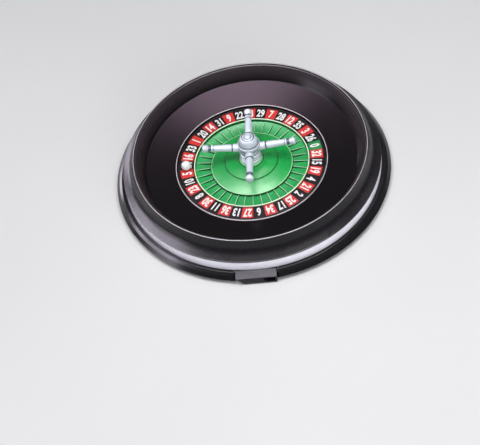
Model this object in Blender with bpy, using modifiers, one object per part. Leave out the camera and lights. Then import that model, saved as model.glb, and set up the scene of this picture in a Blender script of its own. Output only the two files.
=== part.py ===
"""A toy roulette wheel: a black moulded bowl on a flanged base, a rotor that spins on a steel
spindle, a turret with four arms, and a loose ball.

Lengths here are millimetres, and MM turns them into metres. Z is up. The origin is on the
table under the rotor's axis, and the front is -Y. Everything turned is a half section of
(radius, height) points that runs down its outer side.
"""
import math

import bmesh
import bpy
from mathutils import Matrix, Vector

MM = 0.001
GAP = 0.3                    # clearance between pieces that touch

# Driving dimensions of the bowl
BASE_RADIUS = 127.0          # flange of the base, the widest part
RIM_RADIUS = 118.6           # outer wall of the rim
CREST_RADIUS = 106.2         # inner edge of the rim, where its bead is
CREST_HEIGHT = 36.4
TRACK_OUTER = 97.5           # the ball track's slope runs from here
TRACK_INNER = 69.2           # to the well that the rotor turns in
TRACK_HEIGHT = 22.0          # height of the slope's outer edge
WELL_HEIGHT = 17.0           # and of its inner edge
FLOOR_TOP = 4.5              # upper face of the bottom plate
PLATE_THICKNESS = 2.3
FLANGE_TOP = 10.0
PLATE_RADIUS = RIM_RADIUS - 3.0
PAD_CIRCLE = 94.0            # the rubber feet stand on this radius

# Driving dimensions of the rotor
POCKETS = 37
ROTOR_RADIUS = 68.4
NUMBERS_OUTER = 66.2
NUMBERS_INNER = 54.0
NUMBERS_TOP = 15.8
POCKET_OUTER = 52.3
POCKET_INNER = 37.9
POCKET_FLOOR = 11.1
FRET_TOP = 13.3
FRET_THICKNESS = 0.7
CONE_RADIUS = POCKET_INNER - GAP
DISC_RADIUS = 23.8
DISC_TOP = 20.4              # the flat middle of the centre disc, under the turret

# Driving dimensions of the bearing and the turret
SPINDLE_RADIUS = 2.5
STUD_RADIUS = 2.0
TURRET_RADIUS = 9.2
COLLAR_RADIUS = 10.9
ARM_HEIGHT = 35.2            # where the arms' axes cross the turret's axis
ARM_RISE = math.radians(5.5)
ARM_TIP = 43.0               # along the arm, from the turret's axis
BALL_RADIUS = 4.6
BALL_TURN = math.radians(181.8)

QUARTERS = ("right", "back", "left", "front")
LARGE, MEDIUM, SMALL, ARM_SIDES = 48, 36, 20, 12


def clear_scene():
    for obj in list(bpy.data.objects):
        bpy.data.objects.remove(obj, do_unlink=True)


def new_collection(name):
    collection = bpy.data.collections.new(name)
    bpy.context.scene.collection.children.link(collection)
    return collection


def new_material(name, colour, roughness, metallic=0.0):
    material = bpy.data.materials.new(name)
    material.use_nodes = True
    shader = material.node_tree.nodes["Principled BSDF"]
    shader.inputs["Base Color"].default_value = (*colour, 1.0)
    shader.inputs["Roughness"].default_value = roughness
    shader.inputs["Metallic"].default_value = metallic
    return material


def new_object(name, mesh, collection, material=None, parent=None):
    obj = bpy.data.objects.new(name, mesh)
    collection.objects.link(obj)
    if material:
        mesh.materials.append(material)
    obj.parent = parent
    return obj


def mesh_from(name, build):
    """A mesh made by build(bm), which works in millimetres."""
    bm = bmesh.new()
    build(bm)
    bmesh.ops.scale(bm, vec=(MM, MM, MM), verts=bm.verts)
    mesh = bpy.data.meshes.new(name)
    bm.to_mesh(mesh)
    bm.free()
    return mesh


def turned(name, section, material, parent, sides):
    """A turned piece. A section that starts and ends on the axis stays open, and any other is closed."""
    on_axis = section[0][0] == 0.0 and section[-1][0] == 0.0

    def build(bm):
        points = [bm.verts.new((radius, 0.0, height)) for radius, height in section]
        for first, second in zip(points, points[1:]):
            bm.edges.new((first, second))
        if not on_axis:
            bm.edges.new((points[-1], points[0]))

    obj = new_object(name, mesh_from(name, build), parts, material, parent)
    screw = obj.modifiers.new("Screw", "SCREW")
    screw.axis = "Z"
    screw.angle = 2.0 * math.pi
    screw.steps = screw.render_steps = sides
    screw.use_merge_vertices = True
    screw.merge_threshold = 0.00001
    screw.use_smooth_shade = False
    return obj


def cutter(name, build, parent=None):
    obj = new_object(name, mesh_from(name, build), cutters, parent=parent)
    obj.hide_render = True
    obj.display_type = "WIRE"
    return obj


def boolean(obj, other, operation="DIFFERENCE"):
    modifier = obj.modifiers.new("Boolean", "BOOLEAN")
    modifier.object = other
    modifier.operation = operation
    modifier.solver = "EXACT"


def add_cylinder(bm, radius, low, high, sides, place=Matrix.Identity(4)):
    """A closed cylinder along Z from low to high, then moved by place."""
    middle = Matrix.Translation((0.0, 0.0, (low + high) / 2.0))
    bmesh.ops.create_cone(bm, cap_ends=True, segments=sides, radius1=radius, radius2=radius,
                          depth=high - low, matrix=place @ middle)


def add_box(bm, low, high, place=Matrix.Identity(4)):
    low, high = Vector(low), Vector(high)
    size = Matrix.Diagonal((*(high - low), 1.0))
    bmesh.ops.create_cube(bm, size=1.0, matrix=place @ Matrix.Translation((low + high) / 2.0) @ size)


def turn(angle):
    return Matrix.Rotation(angle, 4, "Z")


def quarter_turns(offset=0.0):
    return [offset + index * math.pi / 2.0 for index in range(4)]


def rim_slope(inner, outer, low, high, count=7):
    """The rim's slope: steep under the crest, then an even cone that makes up cone of the fall."""
    cone, steepness = 0.46, 6
    points = []
    for index in range(count):
        rest = 1.0 - index / (count - 1)
        fall = cone * rest + (1.0 - cone) * rest ** steepness
        points.append((outer - (outer - inner) * rest, low + (high - low) * fall))
    return points


def add_bowl():
    """The four turned shells of the bowl, which all stay still."""
    shoulder, wall = 21.0, 2.6
    seat = FLANGE_TOP - 1.4
    outside = rim_slope(CREST_RADIUS + 1.3, RIM_RADIUS - 1.0, shoulder, CREST_HEIGHT - 0.4)
    inside = rim_slope(CREST_RADIUS + 0.7, RIM_RADIUS - wall, shoulder - 2.4, CREST_HEIGHT - 4.4)
    bead = [(CREST_RADIUS, CREST_HEIGHT - 0.3), (CREST_RADIUS + 0.5, CREST_HEIGHT),
            (CREST_RADIUS + 1.0, CREST_HEIGHT - 0.1)]
    wall_outside = [(RIM_RADIUS, shoulder - 1.4), (RIM_RADIUS, seat + GAP)]
    wall_inside = [(RIM_RADIUS - wall, seat + GAP)] + inside[::-1]
    foot_of_bead = [(CREST_RADIUS, CREST_HEIGHT - 4.4)]
    turned("rim_shell", bead + outside + wall_outside + wall_inside + foot_of_bead,
           black_gloss, bowl, LARGE)

    back = CREST_RADIUS - GAP
    track = [
        (back - 0.6, CREST_HEIGHT - 1.1), (back, CREST_HEIGHT - 1.5),
        (back, seat + GAP), (back - 2.2, seat + GAP), (back - 2.2, CREST_HEIGHT - 11.0),
        (TRACK_OUTER + 0.6, TRACK_HEIGHT - 2.4), (TRACK_INNER + 2.2, WELL_HEIGHT - 2.6),
        (TRACK_INNER + 2.2, WELL_HEIGHT - 6.0), (TRACK_INNER, WELL_HEIGHT - 6.0),
        (TRACK_INNER, WELL_HEIGHT + 0.2), (TRACK_INNER + 0.5, WELL_HEIGHT + 0.6),
        (TRACK_INNER + 1.1, WELL_HEIGHT + 0.2), (TRACK_OUTER - 0.8, TRACK_HEIGHT - 0.1),
        (TRACK_OUTER + 0.5, TRACK_HEIGHT + 0.8), (back - 1.4, CREST_HEIGHT - 1.5),
    ]
    turned("ball_track", track, black_satin, bowl, LARGE)

    flange = [
        (RIM_RADIUS + 3.1, FLANGE_TOP + 0.2), (BASE_RADIUS - 2.1, FLANGE_TOP - 2.2),
        (BASE_RADIUS - 0.5, FLANGE_TOP - 2.6), (BASE_RADIUS, FLANGE_TOP - 3.0),
        (BASE_RADIUS, FLANGE_TOP - 3.8), (BASE_RADIUS - 0.9, FLANGE_TOP - 4.6),
        (BASE_RADIUS - 10.0, FLOOR_TOP + GAP), (back - 4.0, FLOOR_TOP + GAP),
        (back - 4.0, seat), (RIM_RADIUS + 2.2, seat), (RIM_RADIUS + 2.4, FLANGE_TOP),
    ]
    base = turned("base_ring", flange, black_satin, bowl, LARGE)

    plate = [
        (SPINDLE_RADIUS + GAP, FLOOR_TOP + 1.1), (9.0, FLOOR_TOP + 1.1), (9.0, FLOOR_TOP),
        (PLATE_RADIUS, FLOOR_TOP), (PLATE_RADIUS, FLOOR_TOP - PLATE_THICKNESS),
        (5.6, FLOOR_TOP - PLATE_THICKNESS), (5.6, FLOOR_TOP - 1.3), (SPINDLE_RADIUS + GAP, FLOOR_TOP - 1.3),
    ]
    return base, turned("bottom_plate", plate, black_satin, bowl, LARGE)


def add_front_tab(base):
    """The block tab that wraps the flange at the front. It has a slanted end and a finger recess."""
    inner, outer, top = RIM_RADIUS + GAP, BASE_RADIUS, FLANGE_TOP + 0.3
    low, half = 0.8, 18.0
    slant = 7.0                      # how far the left end's foot leans in
    fall = 1.7                       # from the top's inner edge to its outer one
    side, deep, high = 1.6, 4.0, 5.6     # the recess: its wall to the right end, depth and height
    spare = 2.0                      # how far the cutters reach past what they cut

    def block(bm):
        add_box(bm, (-half, -outer, low), (half, -inner, top))
        for corner in bm.verts:
            upper, front = corner.co.z > (low + top) / 2.0, corner.co.y < -(inner + outer) / 2.0
            if upper and front:
                corner.co.z -= fall
            elif not upper and corner.co.x < 0.0:
                corner.co.x += slant

    def recess(bm):
        add_box(bm, (half / 3.0, -outer - spare, low + 1.2), (half - side, -outer + deep, low + 1.2 + high))

    def notch(bm):
        add_box(bm, (-half - GAP, -outer - spare, -spare), (half + GAP, -inner + GAP, top + spare))

    boolean(base, cutter("tab_notch", notch, bowl))
    tab = new_object("front_tab", mesh_from("front_tab", block), parts, tab_plastic, bowl)
    boolean(tab, cutter("tab_recess", recess, bowl))


def add_foot_pads():
    """Four rubber pads under the bottom plate, on which the wheel stands."""
    top = FLOOR_TOP - PLATE_THICKNESS - GAP
    pad = [(0.0, top), (7.0, top), (7.0, 0.6), (6.4, 0.0), (0.0, 0.0)]
    for index, angle in enumerate(quarter_turns(math.pi / 4.0)):
        foot = turned(f"foot_pad_{index + 1}", pad, rubber, bowl, SMALL)
        foot.location = Vector((PAD_CIRCLE * math.cos(angle), PAD_CIRCLE * math.sin(angle), 0.0)) * MM


def add_plate_screws(base, plate):
    """Four screws through the bottom plate into blind holes of the base ring."""
    radius, shank, head = 110.5, 1.5, 3.0

    def holes(bm):
        for angle in quarter_turns(math.pi / 4.0):
            place = turn(angle) @ Matrix.Translation((radius, 0.0, 0.0))
            add_cylinder(bm, shank + GAP, 0.0, FLOOR_TOP + 3.0, 12, place)

    hole_cutter = cutter("screw_holes", holes, bowl)
    boolean(base, hole_cutter)
    boolean(plate, hole_cutter)
    underside = FLOOR_TOP - PLATE_THICKNESS
    section = [(0.0, FLOOR_TOP + 2.6), (shank, FLOOR_TOP + 2.2), (shank, underside - GAP),
               (head, underside - GAP), (head - 0.5, underside - 1.5), (0.0, underside - 1.5)]
    for index, angle in enumerate(quarter_turns(math.pi / 4.0)):
        screw = turned(f"plate_screw_{index + 1}", section, steel, bowl, 12)
        screw.location = Vector((radius * math.cos(angle), radius * math.sin(angle), 0.0)) * MM


def add_bearing():
    """The fixed spindle, and the bush that turns on it with the rotor."""
    hub_low, hub_high = FLOOR_TOP + 2.4, 11.2
    clip_low = hub_high + 1.1
    spindle = [
        (0.0, clip_low + 1.1), (SPINDLE_RADIUS - 0.3, clip_low + 1.1),
        (SPINDLE_RADIUS, clip_low + 0.8), (SPINDLE_RADIUS, clip_low + 0.6),
        (SPINDLE_RADIUS - 0.4, clip_low + 0.6), (SPINDLE_RADIUS - 0.4, clip_low - 0.2),
        (SPINDLE_RADIUS, clip_low - 0.2), (SPINDLE_RADIUS, FLOOR_TOP - 1.6),
        (5.2, FLOOR_TOP - 1.6), (5.2, FLOOR_TOP - 3.1), (0.0, FLOOR_TOP - 3.1),
    ]
    turned("spindle", spindle, steel, bowl, SMALL)
    washer = [(3.0, hub_low - GAP), (8.0, hub_low - GAP), (8.0, hub_low - GAP - 0.7),
              (3.0, hub_low - GAP - 0.7)]
    turned("thrust_washer", washer, nylon, bowl, SMALL)
    clip = [(SPINDLE_RADIUS - 0.15, clip_low + 0.4), (4.6, clip_low + 0.4), (4.6, clip_low),
            (SPINDLE_RADIUS - 0.15, clip_low)]
    turned("spindle_clip", clip, steel, bowl, SMALL)
    bore = SPINDLE_RADIUS + 0.1
    bush = [(bore, hub_high + 0.8), (5.6, hub_high + 0.8), (5.6, hub_high + GAP),
            (4.05, hub_high + GAP), (4.05, hub_low), (bore, hub_low)]
    turned("spindle_bush", bush, brass, rotor, SMALL)
    return hub_low, hub_high


def add_rotor(hub_low, hub_high):
    """The rotor's turned pieces, from the carrier outwards in."""
    web = POCKET_FLOOR - 1.5
    ledge = NUMBERS_TOP - 2.2
    wall_outer = NUMBERS_INNER - 0.55
    carrier = [
        (NUMBERS_OUTER + GAP, NUMBERS_TOP + 0.3), (ROTOR_RADIUS - 0.4, NUMBERS_TOP + 0.3),
        (ROTOR_RADIUS, NUMBERS_TOP - 0.1), (ROTOR_RADIUS, ledge - 2.2),
        (wall_outer + 2.0, ledge - 2.2), (wall_outer + 2.0, web - 2.0), (8.6, web - 2.0),
        (8.6, hub_low), (4.35, hub_low), (4.35, hub_high), (8.2, hub_high), (8.2, web),
        (wall_outer + GAP, web), (wall_outer + GAP, ledge), (NUMBERS_OUTER + GAP, ledge),
    ]
    turned("rotor_disc", carrier, black_satin, rotor, LARGE)

    numbers = [
        (NUMBERS_INNER, NUMBERS_TOP), (NUMBERS_OUTER, NUMBERS_TOP),
        (NUMBERS_OUTER, ledge + GAP), (NUMBERS_INNER, ledge + GAP),
    ]
    turned("number_ring", numbers, number_black, rotor, 2 * POCKETS)

    rail = [
        (POCKET_OUTER + 0.2, NUMBERS_TOP + 0.6), (wall_outer, NUMBERS_TOP + 0.6),
        (wall_outer, POCKET_FLOOR + GAP), (POCKET_OUTER, POCKET_FLOOR + GAP),
    ]
    turned("pocket_rail", rail, cream, rotor, 2 * POCKETS)

    floor = [
        (POCKET_INNER, POCKET_FLOOR), (wall_outer, POCKET_FLOOR),
        (wall_outer, web + GAP), (POCKET_INNER, web + GAP),
    ]
    pockets = turned("pocket_ring", floor, green, rotor, 2 * POCKETS)

    def frets(bm):
        half = FRET_THICKNESS / 2.0
        for index in range(POCKETS):
            angle = math.pi / 2.0 + (index + 0.5) * 2.0 * math.pi / POCKETS
            add_box(bm, (POCKET_INNER + 0.2, -half, POCKET_FLOOR - 0.5),
                    (POCKET_OUTER - GAP, half, FRET_TOP), turn(angle))

    boolean(pockets, cutter("frets", frets, rotor), "UNION")

    shelf = DISC_TOP - 2.4
    cone = [
        (CONE_RADIUS - 0.8, FRET_TOP + 0.5), (CONE_RADIUS, FRET_TOP + 0.2),
        (CONE_RADIUS, web + GAP), (CONE_RADIUS - 2.2, web + GAP),
        (CONE_RADIUS - 2.2, FRET_TOP - 2.0), (DISC_RADIUS + 0.4, shelf - 2.2),
        (STUD_RADIUS + 0.4, shelf - 2.2), (STUD_RADIUS + 0.4, shelf), (DISC_RADIUS + 0.8, shelf),
    ]
    turned("rotor_cone", cone, green, rotor, MEDIUM)

    disc = [
        (STUD_RADIUS + 0.4, DISC_TOP), (COLLAR_RADIUS + 0.4, DISC_TOP),
        (DISC_RADIUS - 0.7, DISC_TOP - 1.5), (DISC_RADIUS, DISC_TOP - 1.8),
        (DISC_RADIUS, shelf + GAP), (STUD_RADIUS + 0.4, shelf + GAP),
    ]
    turned("centre_disc", disc, green, rotor, MEDIUM)
    return shelf


def add_turret(shelf):
    """The turret's pieces, stacked on one stud that a nut under the cone holds."""
    bore = STUD_RADIUS + 0.4
    low = DISC_TOP + GAP
    collar = [(bore, low + 1.7), (COLLAR_RADIUS - 0.7, low + 1.7), (COLLAR_RADIUS, low + 1.1),
              (COLLAR_RADIUS, low), (bore, low)]
    turned("turret_collar", collar, pale_green, rotor, MEDIUM)

    low += 1.7 + GAP
    base_top = low + 5.5
    base = [
        (bore, base_top), (8.6, base_top), (8.8, low + 5.1), (9.5, low + 4.6), (9.5, low + 3.0),
        (8.7, low + 2.5), (8.7, low + 2.0), (9.7, low + 1.5), (9.7, low), (bore, low),
    ]
    turned("turret_base", base, silver, rotor, SMALL)

    low = base_top + GAP
    body_top = ARM_HEIGHT + 6.4
    body = [
        (bore, body_top), (TURRET_RADIUS + 0.5, body_top), (TURRET_RADIUS + 0.9, body_top - 0.6),
        (TURRET_RADIUS + 0.9, body_top - 2.8), (TURRET_RADIUS + 0.3, body_top - 3.4),
        (TURRET_RADIUS - 0.5, body_top - 3.9), (TURRET_RADIUS - 0.5, low + 2.5),
        (TURRET_RADIUS + 0.4, low + 2.0), (TURRET_RADIUS + 0.4, low + 0.4), (TURRET_RADIUS, low),
        (bore, low),
    ]
    turret_body = turned("turret_body", body, silver, rotor, SMALL)

    low = body_top + GAP
    cap = [
        (0.0, low + 8.0), (3.8, low + 8.0), (5.6, low + 7.5), (7.0, low + 6.3), (7.9, low + 4.6),
        (8.4, low + 2.2), (8.4, low), (bore, low), (bore, low + 4.0), (0.0, low + 4.0),
    ]
    turned("turret_cap", cap, silver, rotor, SMALL)
    top = low + 8.0 + GAP
    finial = [(0.0, top + 0.9), (1.6, top + 0.8), (2.6, top + 0.4), (2.9, top), (0.0, top)]
    turned("turret_finial", finial, silver, rotor, ARM_SIDES)

    stud_low, stud_high = shelf - 4.1, low + 3.6
    stud = [(0.0, stud_high), (STUD_RADIUS, stud_high), (STUD_RADIUS, stud_low), (0.0, stud_low)]
    turned("turret_stud", stud, steel, rotor, SMALL)
    nut_bore = (STUD_RADIUS + 0.15) / math.cos(math.pi / 6.0)
    nut = [(nut_bore, shelf - 2.5), (4.4, shelf - 2.5), (4.4, shelf - 4.1), (nut_bore, shelf - 4.1)]
    turned("turret_nut", nut, steel, rotor, 6)
    add_arms(turret_body)


def add_arms(turret_body):
    """Four arms, each a sleeve in the turret's socket, a tapered rod and a round knob."""
    socket, sleeve_end, rod_end = 6.0, 15.6, 35.0
    tenon = 1.5

    def arm_place(angle):
        outward = Matrix.Rotation(math.pi / 2.0 - ARM_RISE, 4, "Y")
        return turn(angle) @ Matrix.Translation((0.0, 0.0, ARM_HEIGHT)) @ outward

    def sockets(bm):
        for angle in quarter_turns():
            add_cylinder(bm, 4.2, socket, ARM_TIP, ARM_SIDES, arm_place(angle))

    boolean(turret_body, cutter("arm_sockets", sockets, rotor))

    sleeve = [
        (tenon + GAP, sleeve_end), (3.6, sleeve_end), (3.9, sleeve_end - 0.5),
        (3.9, sleeve_end - 1.8), (3.7, sleeve_end - 2.3), (3.85, socket + GAP), (tenon + GAP, socket + GAP),
    ]
    rod = [
        (0.0, rod_end + 3.4), (tenon, rod_end + 3.4), (tenon, rod_end), (2.9, rod_end),
        (3.4, rod_end - 0.6), (3.4, rod_end - 1.5), (2.8, rod_end - 2.0), (3.5, sleeve_end + GAP),
        (tenon, sleeve_end + GAP), (tenon, socket + 1.0), (0.0, socket + 1.0),
    ]
    knob = [
        (0.0, ARM_TIP), (1.9, ARM_TIP - 0.4), (3.2, ARM_TIP - 1.5), (3.7, ARM_TIP - 3.0),
        (3.3, ARM_TIP - 5.0), (2.4, ARM_TIP - 6.6), (2.7, rod_end + GAP),
        (tenon + GAP, rod_end + GAP), (tenon + GAP, rod_end + 3.8), (0.0, rod_end + 3.8),
    ]
    for side, angle in zip(QUARTERS, quarter_turns()):
        for kind, section in (("arm_sleeve", sleeve), ("arm_rod", rod), ("arm_knob", knob)):
            piece = turned(f"{kind}_{side}", section, silver, rotor, ARM_SIDES)
            location, rotation, _ = arm_place(angle).decompose()
            piece.location = location * MM
            piece.rotation_euler = rotation.to_euler()


def add_ball():
    """The ball, on the number ring's flat face."""
    def sphere(bm):
        bmesh.ops.create_uvsphere(bm, u_segments=20, v_segments=12, radius=BALL_RADIUS)

    radius = (NUMBERS_INNER + NUMBERS_OUTER) / 2.0
    ball = new_object("ball", mesh_from("ball", sphere), parts, ball_white, rotor)
    ball.location = Vector((radius * math.cos(BALL_TURN), radius * math.sin(BALL_TURN),
                            NUMBERS_TOP + GAP + BALL_RADIUS)) * MM


def smooth_round_pieces():
    for obj in parts.objects:
        if obj.type == "MESH":
            obj.data.shade_smooth()
            obj.data.set_sharp_from_angle(angle=math.radians(30.0))


clear_scene()
parts = new_collection("roulette_wheel")
cutters = new_collection("cutters")
bowl = bpy.data.objects.new("bowl_frame", None)
rotor = bpy.data.objects.new("rotor_axis", None)
parts.objects.link(bowl)
parts.objects.link(rotor)
rotor.parent = bowl

black_gloss = new_material("black_gloss", (0.030, 0.029, 0.036), 0.18)
black_satin = new_material("black_satin", (0.022, 0.021, 0.024), 0.34)
tab_plastic = new_material("tab_plastic", (0.075, 0.065, 0.095), 0.38)
number_black = new_material("number_black", (0.012, 0.012, 0.012), 0.35)
cream = new_material("cream", (0.78, 0.74, 0.52), 0.40)
green = new_material("green", (0.020, 0.330, 0.105), 0.32)
pale_green = new_material("pale_green", (0.42, 0.72, 0.47), 0.35)
silver = new_material("silver", (0.66, 0.67, 0.74), 0.20, 1.0)
steel = new_material("steel", (0.55, 0.56, 0.58), 0.28, 1.0)
brass = new_material("brass", (0.62, 0.44, 0.16), 0.28, 1.0)
nylon = new_material("nylon", (0.82, 0.81, 0.76), 0.45)
rubber = new_material("rubber", (0.035, 0.035, 0.037), 0.80)
ball_white = new_material("ball_white", (0.88, 0.88, 0.86), 0.15)

base_ring, bottom_plate = add_bowl()
add_front_tab(base_ring)
add_foot_pads()
add_plate_screws(base_ring, bottom_plate)
cone_shelf = add_rotor(*add_bearing())
add_turret(cone_shelf)
add_ball()
smooth_round_pieces()
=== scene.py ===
"""Looks of the toy roulette wheel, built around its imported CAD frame.

Sections and sizes are millimetres, and MM turns them into metres. Z is up, the front is -Y, and the
origin is on the table under the rotor's axis. Everything turned is a half section of (radius, height)
points, and a third number rounds that corner.
"""
import math

import bmesh
import bpy
from mathutils import Matrix, Quaternion, Vector


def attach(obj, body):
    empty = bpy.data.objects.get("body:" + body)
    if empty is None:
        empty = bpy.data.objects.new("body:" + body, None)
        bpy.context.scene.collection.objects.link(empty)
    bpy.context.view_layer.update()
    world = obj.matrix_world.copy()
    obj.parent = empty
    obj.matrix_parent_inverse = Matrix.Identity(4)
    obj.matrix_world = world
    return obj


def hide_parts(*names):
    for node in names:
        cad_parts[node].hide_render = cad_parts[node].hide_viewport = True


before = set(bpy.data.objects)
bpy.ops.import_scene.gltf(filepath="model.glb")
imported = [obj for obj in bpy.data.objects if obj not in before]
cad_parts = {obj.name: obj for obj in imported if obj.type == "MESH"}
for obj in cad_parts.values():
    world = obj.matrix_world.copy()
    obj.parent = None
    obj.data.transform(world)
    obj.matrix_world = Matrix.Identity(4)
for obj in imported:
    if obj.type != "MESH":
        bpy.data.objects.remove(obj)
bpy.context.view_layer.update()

MM = 0.001
FINE, MEDIUM, SMALL = 192, 128, 64      # sides of a turned piece, by its size
CORNER_STEPS = 4        # edges that stand for one rounded corner
MOST_REACH = 0.48       # the share of an edge that one rounded corner may take
SHARP_ANGLE = 35.0      # degrees between two faces from which their edge is shaded sharp
BEVEL_ANGLE = 30.0      # degrees from which soften() bevels an edge

# The wheel's main dimensions, and the places of its pieces
BASE_RADIUS = 127.0         # the flange of the base
RIM_RADIUS = 118.6          # the rim's outer wall
CREST_RADIUS = 106.2        # the inner edge of the rim's crest
RIM_FOOT = 8.9              # height of the lower edges of the rim and the track
TRACK_OUTER = 97.5          # the slope runs from here
WELL_RADIUS = 69.2          # to the well that the rotor turns in
PLATE_TOP = 4.5             # upper face of the bottom plate
PLATE_UNDER = 2.2           # and its lower face
PAD_CIRCLE = 94.0
SCREW_CIRCLE = 110.5
DIAGONALS = [math.radians(turn) for turn in (45.0, 135.0, 225.0, 315.0)]    # of the screws and the pads
TAB_HALF = 18.0             # half the front tab's width
TAB_GAP = 0.3               # between the tab and what is round it
BORE = 2.4                  # radius of the hole down the rotor's middle
POCKETS = 37
FRET_INNER, FRET_OUTER = 38.0, 52.1
NUMBERS_MIDDLE = 60.1       # radius of the ball's place and of the numerals' middles
ARM_HEIGHT = 35.2           # where the arms' axes meet
ARM_RISE = math.radians(5.5)
BALL_RADIUS = 4.6
BALL_TURN = math.radians(181.8)
BALL_HEIGHT = 20.7
NUMBERS = (
    0, 32, 15, 19, 4, 21, 2, 25, 17, 34, 6, 27, 13, 36, 11, 30, 8, 23, 10,
    5, 24, 16, 33, 1, 20, 14, 31, 9, 22, 18, 29, 7, 28, 12, 35, 3, 26,
)
AT_BACK = NUMBERS.index(18)     # the pocket that lies at +Y
POCKET_STEP = 2.0 * math.pi / POCKETS
QUARTERS = ("right", "back", "left", "front")
QUARTER = math.pi / 2.0


# ---------------------------------------------------------------- meshes

def rounded(section):
    """The section's points, with each (radius, height, rounding) corner turned into a curve."""
    points = []
    for index, corner in enumerate(section):
        here = Vector(corner[:2])
        if len(corner) < 3:
            points.append(here)
            continue
        before = Vector(section[index - 1][:2]) - here
        after = Vector(section[(index + 1) % len(section)][:2]) - here
        reach = corner[2] / math.tan(before.angle(after) / 2.0)
        reach = min(reach, MOST_REACH * before.length, MOST_REACH * after.length)
        start = here + before.normalized() * reach
        end = here + after.normalized() * reach
        for step in range(CORNER_STEPS + 1):
            share = step / CORNER_STEPS
            points.append(start.lerp(here, share).lerp(here.lerp(end, share), share))
    return points


def add_turned(bm, section, sides):
    """Turns a section about Z. It closes on itself, unless it starts and ends on the axis."""
    rings = []
    for radius, height in rounded(section):
        if radius == 0.0:
            rings.append([bm.verts.new((0.0, 0.0, height))])
            continue
        rings.append([
            bm.verts.new((radius * math.cos(turn), radius * math.sin(turn), height))
            for turn in (2.0 * math.pi * side / sides for side in range(sides))
        ])
    on_axis = len(rings[0]) == 1 and len(rings[-1]) == 1
    for first, second in zip(rings, rings[1:] if on_axis else rings[1:] + rings[:1]):
        for side in range(sides):
            ends = ((first, side), (first, side + 1), (second, side + 1), (second, side))
            loop = [ring[index % len(ring)] for ring, index in ends]
            corners = list(dict.fromkeys(loop))     # a ring on the axis is one point, so it gives a triangle
            if len(corners) > 2:
                bm.faces.new(corners)


def mesh_piece(name, build, sharp=SHARP_ANGLE):
    """A piece whose mesh build(bm) makes in millimetres."""
    bm = bmesh.new()
    build(bm)
    bmesh.ops.recalc_face_normals(bm, faces=bm.faces)
    bmesh.ops.scale(bm, vec=(MM, MM, MM), verts=bm.verts)
    mesh = bpy.data.meshes.new(name)
    bm.to_mesh(mesh)
    bm.free()
    mesh.shade_smooth()
    mesh.set_sharp_from_angle(angle=math.radians(sharp))
    obj = bpy.data.objects.new(name, mesh)
    bpy.context.scene.collection.objects.link(obj)
    return obj


def turned(name, section, sides=FINE):
    """A turned piece."""
    return mesh_piece(name, lambda bm: add_turned(bm, section, sides))


def settle(obj):
    """Applies the piece's modifiers."""
    graph = bpy.context.evaluated_depsgraph_get()
    mesh = bpy.data.meshes.new_from_object(obj.evaluated_get(graph))
    obj.modifiers.clear()
    obj.data = mesh


def cut(obj, build):
    """Cuts the closed solid that build(bm) makes out of the piece."""
    tool = mesh_piece("cutting_tool", build)
    modifier = obj.modifiers.new("Cut", "BOOLEAN")
    modifier.object = tool
    modifier.solver = "EXACT"
    settle(obj)
    bpy.data.objects.remove(tool)


def soften(obj, width, segments=3):
    """Bevels the piece's hard edges. The width is in millimetres."""
    bevel = obj.modifiers.new("Bevel", "BEVEL")
    bevel.width = width * MM
    bevel.segments = segments
    bevel.limit_method = "ANGLE"
    bevel.angle_limit = math.radians(BEVEL_ANGLE)
    settle(obj)
    obj.data.shade_smooth()
    obj.data.set_sharp_from_angle(angle=math.radians(SHARP_ANGLE))


def dress(obj, body, slot, material, *nodes):
    """Puts the piece on its body, gives it its finish, and lets it stand for those CAD nodes."""
    obj.data.materials.clear()
    obj.data.materials.append(material)
    normals = obj.modifiers.new("Normals", "WEIGHTED_NORMAL")
    normals.keep_sharp = True
    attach(obj, body)
    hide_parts(*nodes)
    return obj


def darken_grooves(obj, material, *spans):
    """Gives the painted shade of the grooves, a second, dark grey material, to the faces whose middles lie in
    those spans of the piece's own Z.
    """
    obj.data.materials.append(material)
    for face in obj.data.polygons:
        if any(low * MM <= face.center.z <= high * MM for low, high in spans):
            face.material_index = 1


def around(angle, radius=0.0, height=0.0):
    """The place at that radius and angle, with X pointing outwards."""
    return Matrix.Rotation(angle, 4, "Z") @ Matrix.Translation((radius, 0.0, height))


def add_box(bm, low, high):
    """A box between two corners. It returns its eight points."""
    size = Vector(high) - Vector(low)
    middle = (Vector(low) + Vector(high)) / 2.0
    matrix = Matrix.Translation(middle) @ Matrix.Diagonal((*size, 1.0))
    return bmesh.ops.create_cube(bm, size=1.0, matrix=matrix)["verts"]


def add_rod(bm, radius, length, sides, place):
    """A closed cylinder along Z, with its middle at that place."""
    bmesh.ops.create_cone(bm, cap_ends=True, segments=sides, radius1=radius, radius2=radius,
                          depth=length, matrix=place)


def cell_angle(index):
    """Azimuth of a pocket's middle. The numbers run clockwise."""
    return QUARTER - (index - AT_BACK) * POCKET_STEP


# ---------------------------------------------------------------- materials

# Noise patterns: features per metre, detail, and the span of the noise that a pattern stretches
PATTERNS = {
    "cloud": (26.0, 3.0, 0.3, 0.7),         # slow changes of a plastic's colour
    "gloss": (85.0, 4.0, 0.3, 0.75),        # patches that are more or less polished
    "wear_and_highlight": (140.0, 4.0, 0.35, 0.6),        # breaks in the lighter edges, which are partly wear and partly a painted highlight
    "plating": (70.0, 3.0, 0.35, 0.7),      # slow changes of a metal's colour
    "polish": (120.0, 2.0, 0.3, 0.7),       # and of its polish
    "paper": (3.0, 2.0, 0.3, 0.7),          # slow changes of the floor's colour
}
# Bumps: features per metre, and depth in millimetres
GRAIN_SCALE, GRAIN_DEPTH = 1500.0, 0.03     # the mould's fine grain
MARK_SCALE, MARK_DEPTH = 1400.0, 0.02       # marks that the ball leaves as it rolls
LATHE_SCALE, LATHE_DEPTH = 3000.0, 0.01     # turning marks on metal
PAPER_SCALE, PAPER_DEPTH = 900.0, 0.05      # the floor's fibres
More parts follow.
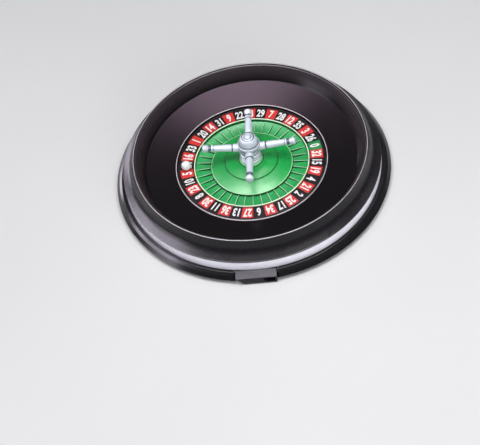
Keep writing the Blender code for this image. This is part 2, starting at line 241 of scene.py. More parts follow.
# Pointiness, which is 0.5 on a flat face, more on a ridge and less in a groove. Ridges can get a painted
# highlight, and grooves painted shade
RIDGE_FROM, RIDGE_TO = 0.53, 0.59
GROOVE_FROM, GROOVE_TO = 0.42, 0.5


def srgb(red, green, blue):
    """A display colour of 0 to 255 as linear light, by the two parts of the sRGB curve."""
    return tuple(
        value / 255.0 / 12.92 if value <= 10 else ((value / 255.0 + 0.055) / 1.055) ** 2.4
        for value in (red, green, blue)
    )


class Finish:
    """A Principled material, built node by node."""

    def __init__(self, name, roughness, **sockets):
        self.material = bpy.data.materials.new(name)
        self.material.use_nodes = True
        self.tree = self.material.node_tree
        self.shader = self.tree.nodes["Principled BSDF"]
        self.shader.inputs["Roughness"].default_value = roughness
        for key, value in sockets.items():
            self.shader.inputs[key.replace("_", " ")].default_value = value
        self.place = self.node("TexCoord").outputs["Object"]
        self.normal = None

    def node(self, kind, inputs=None, **settings):
        """A shader node. Each of its inputs is a value, or another node's socket to link."""
        made = self.tree.nodes.new("ShaderNode" + kind)
        for key, value in settings.items():
            setattr(made, key, value)
        for key, value in (inputs or {}).items():
            if isinstance(value, bpy.types.NodeSocket):
                self.tree.links.new(value, made.inputs[key])
            else:
                made.inputs[key].default_value = value
        return made

    def noise(self, scale, detail=2.0):
        """Noise that lies round 0.5."""
        inputs = {"Scale": scale, "Detail": detail, "Vector": self.place}
        return self.node("TexNoise", inputs).outputs["Fac"]

    def radius(self):
        """Distance from the piece's own axis, in metres."""
        apart = self.node("SeparateXYZ", {0: self.place}).outputs
        flat = self.node("CombineXYZ", {0: apart[0], 1: apart[1]}).outputs[0]
        return self.node("VectorMath", {0: flat}, operation="LENGTH").outputs["Value"]

    def rings(self, scale):
        """Noise that changes only with the radius, as turning and rolling marks do."""
        inputs = {"W": self.radius(), "Scale": scale, "Detail": 3.0}
        return self.node("TexNoise", inputs, noise_dimensions="1D").outputs["Fac"]

    def between(self, value, low, high, first=0.0, last=1.0):
        """Goes from first to last as the value goes from low to high."""
        return self.node("MapRange", {0: value, 1: low, 2: high, 3: first, 4: last},
                         clamp=True).outputs[0]

    def pattern(self, name, first=0.0, last=1.0):
        """One of the PATTERNS, which wanders from first to last."""
        scale, detail, low, high = PATTERNS[name]
        return self.between(self.noise(scale, detail), low, high, first, last)

    def mix(self, share, first, second):
        """The first colour where the share is 0, and the second where it is 1."""
        colours = [(*value, 1.0) if isinstance(value, tuple) else value for value in (first, second)]
        return self.node("Mix", {0: share, 6: colours[0], 7: colours[1]}, data_type="RGBA").outputs[2]

    def times(self, first, second):
        """The product of two sockets."""
        return self.node("Math", {0: first, 1: second}, operation="MULTIPLY").outputs[0]

    def drive(self, socket, value):
        """Links a value to one of the shader's inputs."""
        self.tree.links.new(value, self.shader.inputs[socket])

    def bump(self, height, strength, depth):
        """Adds a bump to those that are there. The depth is in millimetres."""
        inputs = {"Height": height, "Strength": strength, "Distance": depth * MM}
        if self.normal:
            inputs["Normal"] = self.normal
        self.normal = self.node("Bump", inputs).outputs[0]
        self.drive("Normal", self.normal)


def moulded(name, colour, roughness, spread=0.10, grain=0.10, edge=None, uneven=0.2, **sockets):
    """Moulded plastic: uneven colour and gloss, a fine grain, and, where it has an edge colour, lighter edges
    that are partly wear and partly a painted highlight.
    """
    finish = Finish(name, roughness, **sockets)
    deep = tuple(value * (1.0 - spread) for value in colour)
    pale = tuple(min(value * (1.0 + spread), 1.0) for value in colour)
    tone = finish.mix(finish.pattern("cloud"), deep, pale)
    # Painted highlight on the ridges, broken up like wear
    if edge:
        point = finish.node("NewGeometry").outputs["Pointiness"]
        ridges = finish.between(point, RIDGE_FROM, RIDGE_TO)
        tone = finish.mix(finish.times(ridges, finish.pattern("wear_and_highlight", 0.35, 1.0)), tone, edge)
    finish.drive("Base Color", tone)
    finish.drive("Roughness", finish.pattern("gloss", roughness * (1.0 - uneven), roughness * (1.0 + uneven)))
    finish.bump(finish.noise(GRAIN_SCALE), grain, GRAIN_DEPTH)
    return finish.material


def metal(name, colour, roughness, brushed=0.08, cavity_shade=None, **sockets):
    """Metal or plating: slightly uneven gloss, fine turning marks, and, where it has a shade colour, painted
    shade in its grooves.
    """
    sockets.setdefault("Metallic", 1.0)
    finish = Finish(name, roughness, **sockets)
    dull = tuple(value * 0.92 for value in colour)
    tone = finish.mix(finish.pattern("plating"), colour, dull)
    # Painted shade in the grooves
    if cavity_shade:
        point = finish.node("NewGeometry").outputs["Pointiness"]
        tone = finish.mix(finish.between(point, GROOVE_FROM, GROOVE_TO), cavity_shade, tone)
    finish.drive("Base Color", tone)
    finish.drive("Roughness", finish.pattern("polish", roughness * 0.9, roughness * 1.15))
    if brushed:
        finish.bump(finish.rings(LATHE_SCALE), brushed, LATHE_DEPTH)
    return finish.material


def bowl_plastic(name, heights, colours, roughness, specular, uneven, marks=0.0):
    """Black plastic whose colour and roughness go from the first to the second between two heights. The
    change of colour is painted light, lighter at one end.
    """
    finish = Finish(name, roughness[0], Specular_IOR_Level=specular)
    height = finish.node("SeparateXYZ", {0: finish.place}).outputs[2]
    share = finish.between(height, heights[0] * MM, heights[1] * MM)
    # Painted light: the base colour goes from the first to the second with height
    painted_light_share = finish.times(share, finish.pattern("cloud", 0.9, 1.0))
    finish.drive("Base Color", finish.mix(painted_light_share, *colours))
    gloss = finish.pattern("gloss", 1.0 - uneven, 1.0 + uneven)
    finish.drive("Roughness", finish.times(finish.between(share, 0.0, 1.0, *roughness), gloss))
    finish.bump(finish.noise(GRAIN_SCALE), 0.10, GRAIN_DEPTH)
    if marks:
        finish.bump(finish.rings(MARK_SCALE), marks, MARK_DEPTH)
    return finish.material


# Painted light: the rim is lighter low on its slope, towards the shoulder
rim_black_painted_light = bowl_plastic("rim_black_painted_light", heights=(20.8, 30.0), colours=(srgb(28, 25, 30), srgb(13, 11, 14)),
                         roughness=(0.29, 0.24), specular=0.3, uneven=0.06)
# Painted light: the track's inner wall is lighter towards the crest
track_black_painted_light = bowl_plastic("track_black_painted_light", heights=(23.0, 33.0), colours=(srgb(14, 11, 13), srgb(54, 47, 52)),
                           roughness=(0.22, 0.32), specular=0.24, uneven=0.05, marks=0.05)
base_black = moulded("base_black", srgb(12, 11, 14), 0.22, grain=0.05, uneven=0.05, Specular_IOR_Level=0.5)
rotor_black = moulded("rotor_black", srgb(16, 15, 17), 0.32, Specular_IOR_Level=0.25)
# Painted highlight: the tab's edges are lighter, broken up like wear
tab_plastic = moulded("tab_purple_black", srgb(20, 18, 25), 0.36, edge=srgb(70, 66, 80),
                      Specular_IOR_Level=0.2)
# Painted highlight: the near-white band round the rim's outer wall
band_painted_highlight = metal("band_painted_highlight", srgb(242, 240, 252), 0.36, Metallic=0.1)
# Painted highlights: the light grey of the beads on the crest and at the well
crest_bead_painted_highlight = metal("crest_bead_painted_highlight", srgb(172, 168, 174), 0.36, Metallic=0.15)
well_bead_painted_highlight = metal("well_bead_painted_highlight", srgb(178, 172, 174), 0.36, Metallic=0.2)
# Its grooves get painted shade, a dark blue grey
turret_silver = metal("turret_silver", srgb(198, 207, 219), 0.44, brushed=0.0, cavity_shade=srgb(84, 92, 116),
                      Metallic=0.10)
# Painted shade for the turret's and the arms' grooves
painted_groove_shade = metal("painted_groove_shade", srgb(84, 92, 108), 0.45, brushed=0.0, Metallic=0.2)
print_red = moulded("print_red", srgb(206, 48, 40), 0.38, spread=0.05, Specular_IOR_Level=0.25)
print_black = moulded("print_black", srgb(13, 12, 13), 0.36, spread=0.08, Specular_IOR_Level=0.2)
print_green = moulded("print_green", srgb(10, 132, 66), 0.38, spread=0.05, Specular_IOR_Level=0.25)
print_white = moulded("print_white", srgb(226, 226, 224), 0.45, spread=0.03)
cream = moulded("rail_cream", srgb(228, 242, 212), 0.35, spread=0.03)
green = moulded("cone_green", srgb(0, 157, 68), 0.30, spread=0.03, Specular_IOR_Level=0.2, Coat_Weight=0.42,
                Coat_Roughness=0.38, Coat_IOR=1.5)
pocket_green = moulded("pocket_green", srgb(26, 160, 80), 0.32, spread=0.04, Specular_IOR_Level=0.3,
                       Coat_Weight=0.35, Coat_Roughness=0.3)
# Painted shade: the dark green of the frets, the pockets' wall, the cone's skirt, the ring round the disc and
# the collar's outline
shade_green = moulded("painted_shade_green", srgb(2, 84, 42), 0.40, spread=0.06)
# Painted highlight: the pale green of the lines on the frets' tops
fret_highlight_green = moulded("fret_highlight_green", srgb(178, 228, 188), 0.30, spread=0.04)
line_green = moulded("line_green", srgb(158, 218, 160), 0.36, spread=0.04)
pale_green = moulded("collar_green", srgb(120, 200, 134), 0.34, spread=0.04)
ball_white = moulded("ball_white", srgb(228, 228, 231), 0.20, spread=0.02, grain=0.03, Coat_Weight=0.5)
steel = metal("steel", srgb(190, 192, 196), 0.30, brushed=0.3)
brass = metal("brass", srgb(206, 172, 104), 0.30, brushed=0.3)
nylon = moulded("nylon", srgb(226, 224, 214), 0.50, spread=0.04)
rubber = moulded("rubber", srgb(42, 42, 44), 0.80, grain=0.5)


# ---------------------------------------------------------------- the bowl

def rim_slope(inner, outer, low, high, count):
    """The slope of the rim: steep under its crest, then an even cone out to its shoulder."""
    cone, steepness = 0.46, 6       # the share of the fall that the cone takes, and the power of the rest
    points = []
    for index in range(count):
        left = 1.0 - index / (count - 1)
        fall = cone * left + (1.0 - cone) * left ** steepness
        points.append((outer + (inner - outer) * left, low + (high - low) * fall))
    return points


def add_rim():
    """The rim, with a near-white band round its outer wall that is a painted highlight, and the bead on its
    crest, light grey as a painted highlight.
    """
    rim = [(CREST_RADIUS + 0.7, 35.9)] + rim_slope(CREST_RADIUS + 1.1, RIM_RADIUS - 0.8, 20.7, 36.0, 26)
    rim += [
        (RIM_RADIUS, 20.3, 0.5), (RIM_RADIUS, 19.8, 0.15), (RIM_RADIUS - 0.6, 19.5),
        (RIM_RADIUS - 0.6, RIM_FOOT), (RIM_RADIUS - 2.6, RIM_FOOT),
    ]
    rim += rim_slope(CREST_RADIUS + 0.7, RIM_RADIUS - 2.6, 18.2, 30.0, 10)[::-1]
    rim += [(CREST_RADIUS, 32.0), (CREST_RADIUS, 35.6)]
    dress(turned("bowl_rim", rim), "bowl", "black_gloss", rim_black_painted_light, "rim_shell")

    # The band is a painted highlight, near-white round the outer wall
    band = [
        (118.05, 9.1), (118.05, 19.35), (118.35, 19.35, 0.12), (118.55, 17.0), (RIM_RADIUS, 14.2),
        (118.55, 11.5), (118.35, 9.1, 0.12),
    ]
    dress(turned("rim_highlight_band", band), "bowl", "silver", band_painted_highlight, "rim_shell")
    # The crest bead is light grey, a painted highlight
    crest = [(106.25, 35.2), (106.25, 36.35, 0.32), (106.95, 36.35, 0.32), (106.95, 35.2)]
    dress(turned("crest_bead", crest), "bowl", "silver", crest_bead_painted_highlight, "rim_shell")


def add_track():
    """The bowl's inner wall and the slope down to the well, with the bead at the well. The wall is painted
    lighter towards its crest, and the bead light grey, both painted light.
    """
    track = [
        (105.3, 35.3, 0.25), (105.9, 34.9, 0.2), (105.9, RIM_FOOT), (103.7, RIM_FOOT), (103.7, 25.4, 2.0),
        (98.1, 19.6, 1.0), (71.4, 14.4, 0.8), (71.4, 11.0), (WELL_RADIUS, 11.0), (WELL_RADIUS, 16.7),
        (70.35, 16.7), (70.6, 17.2, 0.15), (84.0, 19.4), (97.0, 21.9, 0.2), (TRACK_OUTER, 22.6, 0.4),
        (101.2, 28.2), (103.2, 31.9), (104.5, 34.9, 0.2),
    ]
    dress(turned("bowl_track", track), "bowl", "black_satin", track_black_painted_light, "ball_track")
    # The well bead is light grey, a painted highlight
    well = [(69.25, 16.65), (69.25, 17.45, 0.3), (70.15, 17.45, 0.3), (70.15, 16.65)]
    dress(turned("well_bead", well), "bowl", "silver", well_bead_painted_highlight, "ball_track")


def add_base():
    """The flange with its notch for the tab, the bottom plate with its screw holes, and the feet."""
    notch = TAB_HALF + TAB_GAP
    spare = 2.0                     # how far the cutter reaches past the flange
    screw_radius, screw_middle, screw_length, screw_sides = 1.8, 4.0, 8.0, 24
    flange = [
        (101.9, 4.8), (101.9, 8.6), (120.8, 8.6, 0.3), (121.1, 10.3, 0.3), (121.7, 10.2, 0.2),
        (124.2, 8.25, 0.15), (126.7, 5.3, 0.2), (BASE_RADIUS, 5.0, 0.1), (126.6, 4.8, 0.1), (117.0, 4.8),
    ]
    base = turned("base_flange", flange)
    cut(base, lambda bm: add_box(bm, (-notch, -BASE_RADIUS - spare, -1.0), (notch, -RIM_RADIUS, 13.0)))
    dress(base, "bowl", "black_satin", base_black, "base_ring")

    groove = PLATE_UNDER + 0.4      # top of the two ring grooves in the plate's underside
    plate = [
        (2.8, 3.2), (2.8, 5.6), (9.0, 5.6, 0.3), (9.0, PLATE_TOP), (115.6, PLATE_TOP, 0.3),
        (115.6, PLATE_UNDER, 0.5), (60.0, PLATE_UNDER), (59.6, groove), (58.4, groove),
        (58.0, PLATE_UNDER), (30.0, PLATE_UNDER), (29.6, groove), (28.4, groove), (28.0, PLATE_UNDER),
        (5.6, PLATE_UNDER), (5.6, 3.2),
    ]
    bottom = turned("bottom_cover", plate)

    def screw_holes(bm):
        for turn in DIAGONALS:
            add_rod(bm, screw_radius, screw_length, screw_sides, around(turn, SCREW_CIRCLE, screw_middle))

    cut(bottom, screw_holes)
    dress(bottom, "bowl", "black_satin", base_black, "bottom_plate")

    pad = [(0.0, 0.35), (5.6, 0.35), (5.9, 0.0), (6.5, 0.0), (7.0, 0.5, 0.3), (7.0, 1.9), (0.0, 1.9)]
    for number, turn in enumerate(DIAGONALS, 1):
        foot = turned(f"rubber_foot_{number}", pad, SMALL)
        foot.location = around(turn, PAD_CIRCLE).translation * MM
        dress(foot, "bowl", "rubber", rubber, f"foot_pad_{number}")


def add_tab():
    """The block tab at the front, with its slanted end and its finger recess."""
    back, front = -RIM_RADIUS - TAB_GAP, -BASE_RADIUS
    low, top = 0.8, 10.3
    fall, slant = 1.7, 7.0          # how far the top's front edge drops, and the left end's foot leans in
    deep, spare, side = 4.0, 2.0, 1.6       # the recess, its cutter's reach past it, and its right wall
    recess = (6.0, front - spare, 2.0), (TAB_HALF - side, front + deep, 7.6)

    def block(bm):
        for corner in add_box(bm, (-TAB_HALF, front, low), (TAB_HALF, back, top)):
            upper = corner.co.z > (low + top) / 2.0
            if upper and corner.co.y < (front + back) / 2.0:
                corner.co.z -= fall
            elif not upper and corner.co.x < 0.0:
                corner.co.x += slant

    tab = mesh_piece("tab_block", block)
    cut(tab, lambda bm: add_box(bm, *recess))
    soften(tab, 0.35)
    dress(tab, "bowl", "tab_plastic", tab_plastic, "front_tab")


# ---------------------------------------------------------------- the rotor

def add_cells():
    """The printed number cells: red and black by turns, and a green one for the zero."""
    inner, outer = 54.2, 66.0
    low, high = 15.6, 15.85
    gap, bevel = 0.12, 0.07     # half the gap between two cells, and the bevel of a cell's top
    parts = 6                   # strips that follow the curve

    def cell(bm, index):
        rows = []
        for inset, height in ((0.0, low), (0.0, high - bevel), (bevel, high)):
            row = []
            for radius in (inner + inset, outer - inset):
                reach = POCKET_STEP / 2.0 - (gap + inset) / radius
                for part in range(parts + 1):
                    angle = cell_angle(index) + reach * (2.0 * part / parts - 1.0)
                    row.append(bm.verts.new((radius * math.cos(angle), radius * math.sin(angle), height)))
            rows.append(row)
        edge = list(range(parts + 1)) + list(range(2 * parts + 1, parts, -1))
        for below, above in zip(rows, rows[1:]):
            for here, there in zip(edge, edge[1:] + edge[:1]):
                bm.faces.new((below[here], below[there], above[there], above[here]))
        for row in (rows[0], rows[-1]):
            for part in range(parts):
                bm.faces.new((row[part], row[part + 1], row[parts + 2 + part], row[parts + 1 + part]))

    groups = {
        "red_cells": (print_red, range(1, POCKETS, 2)),
        "black_cells": (print_black, range(2, POCKETS, 2)),
        "zero_cell": (print_green, range(1)),
    }
    for name, (material, indices) in groups.items():
        def build(bm):
            for index in indices:
                cell(bm, index)

        dress(mesh_piece(name, build), "rotor", "number_black", material, "number_ring")


def add_numerals():
    """The numerals on the cells. Their tops point outwards."""
    size, weight, thickness = 12.0, 0.42, 0.05
    width = 0.62                # share of the font's own width
    height = 15.88
    meshes = []
    for index, number in enumerate(NUMBERS):
        curve = bpy.data.curves.new("numeral", "FONT")
        curve.body = str(number)
        curve.align_x, curve.align_y = "CENTER", "CENTER"
        curve.size = size
        curve.offset = weight
        curve.extrude = thickness
        curve.resolution_u = 3
        glyph = bpy.data.objects.new("numeral", curve)
        bpy.context.scene.collection.objects.link(glyph)
        bpy.context.view_layer.update()
        graph = bpy.context.evaluated_depsgraph_get()
        mesh = bpy.data.meshes.new_from_object(glyph.evaluated_get(graph))
        across = [vertex.co.x for vertex in mesh.vertices]
        along = [vertex.co.y for vertex in mesh.vertices]
        middle = Vector((min(across) + max(across), min(along) + max(along), 0.0)) / 2.0
        squeeze = Matrix.Diagonal((width, 1.0, 1.0, 1.0))
        place = around(cell_angle(index), NUMBERS_MIDDLE, height) @ Matrix.Rotation(-QUARTER, 4, "Z")
        mesh.transform(place @ squeeze @ Matrix.Translation(-middle))
        meshes.append(mesh)
        bpy.data.objects.remove(glyph)

    def joined(bm):
        for mesh in meshes:
            bm.from_mesh(mesh)

    dress(mesh_piece("numerals", joined), "rotor", "cream", print_white, "number_ring")


def add_frets():
    """The ridges between the pockets, dark green as painted shade, and the pale lines on their tops, which
    are painted highlights.
    """
    half = [(0.36, 0.0), (0.32, 0.72), (0.30, 0.92), (0.22, 1.0)]     # half width, share of the height
    profile = [(-across, up) for across, up in half] + half[::-1]
    bottom, high, low = 10.9, 13.5, 12.9        # foot, and the top at the inner and the outer end
    # Radius, and the share of its height that a ridge has there
    stations = [(FRET_INNER, 0.35), (38.25, 0.8), (38.8, 1.0), (45.0, 1.0), (51.2, 1.0), (FRET_OUTER, 0.9)]
    line = (FRET_INNER + 0.9, -0.26, -0.12), (FRET_OUTER - 0.2, 0.26, 0.02)     # from the ridge's top

    def top(radius):
        return high + (low - high) * (radius - FRET_INNER) / (FRET_OUTER - FRET_INNER)

    def build(bm):
        for index in range(POCKETS):
            place = around(cell_angle(index + 0.5))
            rows = []
            for radius, share in stations:
                rise = (top(radius) - bottom) * share
                rows.append([bm.verts.new(place @ Vector((radius, across, bottom + rise * up)))
                             for across, up in profile])
            for first, second in zip(rows, rows[1:]):
                for one in range(len(profile)):
                    two = (one + 1) % len(profile)
                    bm.faces.new((first[one], first[two], second[two], second[one]))
            bm.faces.new(rows[0])
            bm.faces.new(rows[-1])

    # The ridges are dark green, painted shade
    dress(mesh_piece("pocket_frets", build, 50.0), "rotor", "green", shade_green, "pocket_ring")

    def tops(bm):
        for index in range(POCKETS):
            for corner in add_box(bm, *line):
                corner.co.z += top(corner.co.x)
                corner.co = around(cell_angle(index + 0.5)) @ corner.co

    # The pale lines are painted highlights
    lines = mesh_piece("fret_highlight_lines", tops)
    soften(lines, 0.05, 2)
    dress(lines, "rotor", "pale_green", fret_highlight_green, "pocket_ring")


def crowned(inner_radius, inner_height, outer_radius, outer_height, rise, count):
    """Points of a slope that bulges by rise halfway."""
    points = []
    for index in range(count + 1):
        share = index / count
        bulge = rise * 4.0 * share * (1.0 - share)
        points.append((inner_radius + (outer_radius - inner_radius) * share,
                       inner_height + (outer_height - inner_height) * share + bulge))
    return points


def add_rotor_disc():
    """The rotor's black disc and the bed of the numbers."""
    carrier = [
        (66.5, 16.1, 0.25), (68.4, 16.1, 0.5), (68.4, 11.4), (55.45, 11.4), (55.45, 7.6), (8.6, 7.6),
        (8.6, 6.9), (4.35, 6.9), (4.35, 11.2), (8.2, 11.2), (8.2, 9.6), (53.75, 9.6), (53.75, 13.6),
        (66.5, 13.6),
    ]
    dress(turned("rotor_carrier", carrier), "rotor", "black_satin", rotor_black, "rotor_disc")
    bed = [(54.0, 13.9), (54.0, 15.65, 0.1), (66.2, 15.65, 0.15), (66.2, 13.9)]
    dress(turned("number_bed", bed), "rotor", "number_black", print_black, "number_ring")


def add_pocket_ring():
    """The rail and the wall between the numbers and the pockets, and the pockets' floor. The wall is dark
    green, painted shade.
    """
    line = [(52.35, 15.5), (52.35, 16.4, 0.25), (53.3, 16.4, 0.3), (53.3, 15.5)]
    dress(turned("rail_line", line), "rotor", "cream", cream, "pocket_rail")
    # The wall is dark green, painted shade
    wall = [(52.3, 11.4), (52.3, 15.8, 0.1), (53.5, 15.8, 0.1), (53.5, 11.4)]
    dress(turned("pocket_wall", wall), "rotor", "green", shade_green, "pocket_rail")
    floor = [
        (37.9, 9.9), (37.9, 11.1), (43.0, 11.12), (46.5, 11.35), (49.5, 11.85), (51.2, 12.3),
        (52.2, 12.7, 0.1), (52.2, 11.1), (53.45, 11.1), (53.45, 9.9),
    ]
    dress(turned("pocket_floor", floor), "rotor", "green", pocket_green, "pocket_ring")


def add_cone():
    """The green cone, with its pale lip and its skirt, and the disc that stands on it. The skirt, the ring in
    the groove round the disc and the collar's outline are dark green, painted shade.
    """
    cone = [(36.9, 13.3)] + crowned(36.95, 13.75, 24.9, 17.9, 0.3, 12) + [
        (24.7, 17.5), (23.9, 17.5), (23.6, 18.0), (BORE, 18.0), (BORE, 15.8), (24.2, 15.8),
        (35.4, 11.3), (35.4, 9.9), (36.9, 9.9),
    ]
    dress(turned("cone_body", cone), "rotor", "green", green, "rotor_cone")
    lip = [(36.85, 13.1), (36.85, 13.85, 0.3), (37.6, 13.7, 0.25), (37.6, 13.0, 0.2)]
    dress(turned("cone_lip", lip), "rotor", "pale_green", line_green, "rotor_cone")
    # The skirt under the lip is dark green, painted shade
    skirt = [(36.0, 9.9), (36.9, 13.1), (37.35, 13.1), (37.35, 9.9)]
    dress(turned("cone_skirt", skirt), "rotor", "green", shade_green, "rotor_cone")
    # A dark green ring in the groove round the disc, a painted shadow
    gap = [(23.9, 17.2), (23.9, 17.6), (24.75, 17.6), (24.75, 17.2)]
    dress(turned("disc_gap_painted_shadow", gap), "rotor", "green", shade_green, "rotor_cone")

    disc = [(BORE, 18.3), (BORE, 20.4), (11.0, 20.4)]
    disc += crowned(11.3, 20.4, 23.15, 18.8, 0.45, 12) + [(23.15, 18.3)]
    dress(turned("disc_body", disc), "rotor", "green", green, "centre_disc")
    edge = [(23.1, 18.3), (23.1, 18.95, 0.2), (23.8, 18.75, 0.25), (23.8, 18.3)]
    dress(turned("disc_edge", edge), "rotor", "green", green, "centre_disc")
    # The collar's outline is dark green, painted shade
    outline = [(10.8, 20.3), (10.8, 20.65), (11.7, 20.6, 0.1), (11.8, 20.3)]
    dress(turned("collar_outline", outline, MEDIUM), "rotor", "green", shade_green, "centre_disc")


def add_turret():
    """The collar, the turret's base, its body with the arms' sockets, its dome and its button."""
    socket_radius, socket_middle, socket_length, socket_sides = 4.15, 12.0, 12.0, 48
    collar = [(BORE, 20.7), (BORE, 22.4), (10.1, 22.4, 0.3), (10.8, 21.9, 0.5), (10.9, 20.7, 0.2)]
    dress(turned("collar", collar, MEDIUM), "rotor", "pale_green", pale_green, "turret_collar")
    base = [
        (BORE, 22.7), (BORE, 28.2), (8.6, 28.2, 0.2), (8.7, 27.9, 0.2), (9.5, 27.4, 0.5), (9.5, 26.4, 0.4),
        (8.6, 26.1, 0.2), (8.6, 24.9, 0.1), (9.7, 24.4, 0.5), (9.7, 22.7, 0.3),
    ]
    lower = dress(turned("lower_turret", base, MEDIUM), "rotor", "silver", turret_silver, "turret_base")
    # Painted shade in the base's grooves
    darken_grooves(lower, painted_groove_shade, (24.85, 26.2), (27.85, 28.3))
    body = [
        (BORE, 28.5), (BORE, 41.6), (8.15, 41.6), (8.3, 41.1), (9.05, 41.1), (9.2, 41.6, 0.15),
        (9.8, 41.6, 0.3), (10.1, 41.1, 0.4), (10.1, 39.1, 0.5), (9.2, 38.4, 0.2), (8.8, 38.2, 0.1),
        (8.8, 36.4), (8.9, 36.1, 0.1), (8.9, 34.0), (8.7, 32.3), (8.7, 31.4, 0.1), (9.6, 30.8, 0.5),
        (9.6, 28.9, 0.5), (9.1, 28.5, 0.2),
    ]
    turret = turned("turret_barrel", body, MEDIUM)

    def sockets(bm):
        for index in range(4):
            place = arm_place(index) @ Matrix.Translation((0.0, 0.0, socket_middle))
            add_rod(bm, socket_radius, socket_length, socket_sides, place)

    cut(turret, sockets)
    dress(turret, "rotor", "silver", turret_silver, "turret_body")
    # Painted shade in the body's grooves and above its ring
    darken_grooves(turret, painted_groove_shade, (36.3, 38.3), (31.35, 32.3), (41.0, 41.3))
    cap = [
        (0.0, 49.9), (2.9, 49.9, 0.1), (3.05, 49.4, 0.1), (3.55, 49.4, 0.1), (3.75, 49.9, 0.2),
        (4.8, 49.7), (5.9, 49.2), (6.9, 48.3), (7.7, 47.0), (8.15, 45.4), (8.35, 43.8),
        (8.35, 42.9, 0.2), (8.0, 42.5, 0.2), (8.0, 41.9), (BORE, 41.9), (BORE, 45.9), (0.0, 45.9),
    ]
    dome = dress(turned("cap_dome", cap, MEDIUM), "rotor", "silver", turret_silver, "turret_cap")
    # Painted shade under the dome and round the button
    darken_grooves(dome, painted_groove_shade, (41.95, 42.7), (49.3, 49.5))
    button = [
        (0.0, 50.0), (2.75, 50.0), (2.85, 50.3, 0.1), (2.6, 50.7), (2.0, 50.95), (1.0, 51.08), (0.0, 51.1),
    ]
    dress(turned("cap_button", button, SMALL), "rotor", "silver", turret_silver, "turret_finial")


def arm_place(index):
    """The frame of an arm: Z runs out along it from where the arms meet."""
    outward = Matrix.Rotation(QUARTER - ARM_RISE, 4, "Y")
    return around(index * QUARTER, 0.0, ARM_HEIGHT) @ outward


def add_arms():
    """The four arms. Their sections' heights run out along the arm."""
    sleeve = [
        (1.8, 6.3), (3.85, 6.3, 0.2), (3.8, 8.5), (3.75, 11.0), (3.8, 13.0), (3.9, 14.7, 0.3),
        (3.5, 15.0, 0.1), (3.3, 15.6, 0.2), (1.8, 15.6),
    ]
    rod = [
        (0.0, 7.0), (1.5, 7.0), (1.5, 15.9), (3.1, 15.9, 0.25), (3.45, 16.8, 0.6), (3.4, 20.0), (3.2, 24.5),
        (2.95, 29.0), (2.75, 32.2, 0.3), (2.4, 32.7, 0.2), (3.3, 33.1, 0.3), (3.4, 34.5, 0.3),
        (2.5, 35.0, 0.2), (1.5, 35.0), (1.5, 38.4), (0.0, 38.4),
    ]
    knob = [
        (0.0, 38.8), (1.8, 38.8), (1.8, 35.3), (2.7, 35.3, 0.2), (2.4, 36.0, 0.6), (2.45, 37.2),
        (2.85, 38.1), (3.4, 38.9), (3.6, 39.6, 0.15), (3.3, 39.85, 0.1), (3.3, 40.0, 0.1),
        (3.65, 40.3, 0.3), (3.6, 41.1), (3.2, 42.0), (2.4, 42.6), (1.3, 42.93), (0.0, 43.0),
    ]
    # Each kind's section and the spans of its grooves, which get painted shade
    kinds = {
        "sleeve": (sleeve, [(14.85, 15.7)]),
        "rod": (rod, [(32.4, 32.95), (34.7, 35.0)]),
        "knob": (knob, [(35.3, 37.6)]),
    }
    for index, side in enumerate(QUARTERS):
        for kind, (section, grooves) in kinds.items():
            piece = turned(f"{kind}_{side}", section, SMALL)
            place = arm_place(index)
            place.translation *= MM
            piece.matrix_world = place
            dress(piece, "rotor", "silver", turret_silver, f"arm_{kind}_{side}")
            # Painted shade in the arm's grooves
            darken_grooves(piece, painted_groove_shade, *grooves)


def add_ball():
    """The ball, with the faint seam of its mould."""
    steps = 32
    seam_depth, seam_width = 0.03, 3.0      # the width is in degrees
    section = []
    for index in range(steps + 1):
        angle = math.pi * (index / steps - 0.5)
        radius = BALL_RADIUS - seam_depth * math.exp(-(math.degrees(angle) / seam_width) ** 2)
        section.append((radius * math.cos(angle), radius * math.sin(angle)))
    section[0], section[-1] = (0.0, -BALL_RADIUS), (0.0, BALL_RADIUS)
    ball = turned("white_ball", section, SMALL)
    centre = around(BALL_TURN, NUMBERS_MIDDLE, BALL_HEIGHT).translation * MM
    # The ball lies turned, so its seam isn't level
    tilt = Matrix.Rotation(math.radians(35.0), 4, "X") @ Matrix.Rotation(math.radians(20.0), 4, "Y")
    ball.matrix_world = Matrix.Translation(centre) @ tilt
    dress(ball, "ball", "ball_white", ball_white, "ball")


# ---------------------------------------------------------------- the studio

LIGHT_DISTANCE = 1.25       # metres
FLOOR_HALF = 6000.0         # half the floor's side
WHITE = (1.0, 1.0, 1.0)
LAVENDER = (0.92, 0.85, 1.0)
MAUVE = (1.0, 0.70, 0.94)


def add_softbox(name, size, radiance, azimuth, elevation, colour=WHITE, diffuse=True, glossy=True,
                distance=LIGHT_DISTANCE):
    """A rectangular light aimed at the wheel. Its azimuth is measured from +Y towards +X.

    A light with diffuse off only shows as a reflection, and one with glossy off makes none.
    """
    turn, rise = math.radians(azimuth), math.radians(elevation)
    way = Vector((math.sin(turn) * math.cos(rise), math.cos(turn) * math.cos(rise), math.sin(rise)))
    data = bpy.data.lights.new(name, "AREA")
    data.shape = "RECTANGLE"
    data.size, data.size_y = size
    data.energy = radiance * math.pi * size[0] * size[1]
    data.color = colour
    lamp = bpy.data.objects.new(name, data)
    bpy.context.scene.collection.objects.link(lamp)
    lamp.location = way * distance
    lamp.rotation_euler = (-way).to_track_quat("-Z", "Y").to_euler()
    lamp.visible_camera = False
    lamp.visible_diffuse = diffuse
    lamp.visible_glossy = glossy


def add_floor():
    """A plain pale paper floor."""
    def plane(bm):
        bmesh.ops.create_grid(bm, x_segments=8, y_segments=8, size=FLOOR_HALF)

    floor = mesh_piece("studio_floor", plane)
    finish = Finish("studio_paper", 0.85, Specular_IOR_Level=0.2)
    finish.drive("Base Color", finish.mix(finish.pattern("paper"), (0.64, 0.64, 0.65), (0.67, 0.67, 0.68)))
    finish.bump(finish.noise(PAPER_SCALE, 3.0), 0.05, PAPER_DEPTH)
    floor.data.materials.append(finish.material)


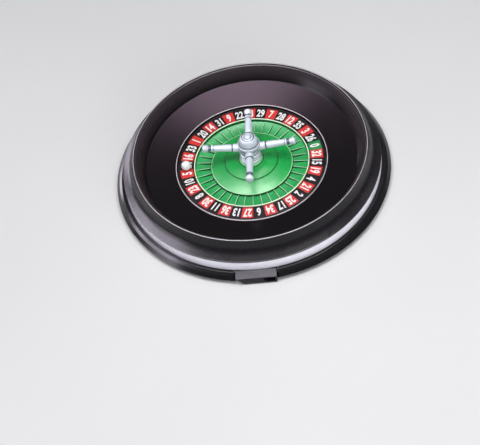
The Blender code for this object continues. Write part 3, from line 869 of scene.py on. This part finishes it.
def add_lights():
    """An even world, two lights that fall on things, and the ones that only show as reflections."""
    world = bpy.data.worlds.new("studio_light")
    world.use_nodes = True
    background = world.node_tree.nodes["Background"]
    background.inputs["Color"].default_value = (0.90, 0.91, 0.95, 1.0)
    background.inputs["Strength"].default_value = 0.18
    bpy.context.scene.world = world
    bpy.context.scene.view_settings.view_transform = "Standard"

    # Each light's size in metres, its radiance, its azimuth and its elevation
    add_softbox("overhead_softbox", (1.25, 0.62), 6.5, 180.0, 79.0, glossy=False)
    add_softbox("front_gloss", (1.30, 0.50), 23.0, 180.0, 82.0, diffuse=False)
    left_row = (
        ((0.60, 0.24), 10.0, -50.0, 4.0),
        ((0.60, 0.50), 12.0, -76.0, 31.0),
        ((0.60, 0.50), 13.0, -98.0, 45.0),
        ((0.60, 0.50), 5.0, -108.0, 22.0),
    )
    for index, light in enumerate(left_row):
        add_softbox(f"left_softbox_{index + 1}", *light, LAVENDER, diffuse=False)
    add_softbox("right_softbox", (0.40, 0.40), 2.0, 72.0, 41.0, diffuse=False)
    add_softbox("back_softbox", (0.42, 0.34), 12.0, -2.0, 69.0, MAUVE, diffuse=False)
    add_softbox("front_fill", (1.50, 0.80), 3.2, 152.0, 22.0, glossy=False, distance=1.60)


# The camera looks at AIM from a distance in millimetres, and azimuth 0 is straight from the front
AIM = Vector((-11.6, -73.5, 20.0))
AZIMUTH, ELEVATION, ROLL = 7.3, 51.2, 10.7      # degrees
DISTANCE = 1145.0
LENS, SENSOR = 97.5, 36.0


def add_camera():
    """The camera at the photo's viewing angle, turned by ROLL about its line of sight."""
    turn, rise = math.radians(AZIMUTH), math.radians(ELEVATION)
    back = Vector((math.sin(turn) * math.cos(rise), -math.cos(turn) * math.cos(rise), math.sin(rise)))
    data = bpy.data.cameras.new("camera")
    data.lens = LENS
    data.sensor_width = SENSOR
    camera = bpy.data.objects.new("camera", data)
    bpy.context.scene.collection.objects.link(camera)
    camera.location = (AIM + back * DISTANCE) * MM
    camera.rotation_mode = "QUATERNION"
    look = (-back).to_track_quat("-Z", "Y")
    camera.rotation_quaternion = look @ Quaternion((0.0, 0.0, 1.0), math.radians(-ROLL))
    data.clip_start, data.clip_end = 0.05, 50.0
    bpy.context.scene.camera = camera


# ---------------------------------------------------------------- the whole

def finish_hidden_nodes():
    """Gives the CAD nodes that hardly show, and so keep their meshes, a finish of their own."""
    screws = [f"plate_screw_{index + 1}" for index in range(4)]
    finishes = {name: steel for name in ("spindle", "spindle_clip", "turret_stud", "turret_nut", *screws)}
    finishes.update(spindle_bush=brass, thrust_washer=nylon)
    for name, material in finishes.items():
        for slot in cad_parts[name].material_slots:
            slot.material = material


add_rim()
add_track()
add_base()
add_tab()
add_rotor_disc()
add_cells()
add_numerals()
add_pocket_ring()
add_frets()
add_cone()
add_turret()
add_arms()
add_ball()
finish_hidden_nodes()
add_floor()
add_lights()
add_camera()
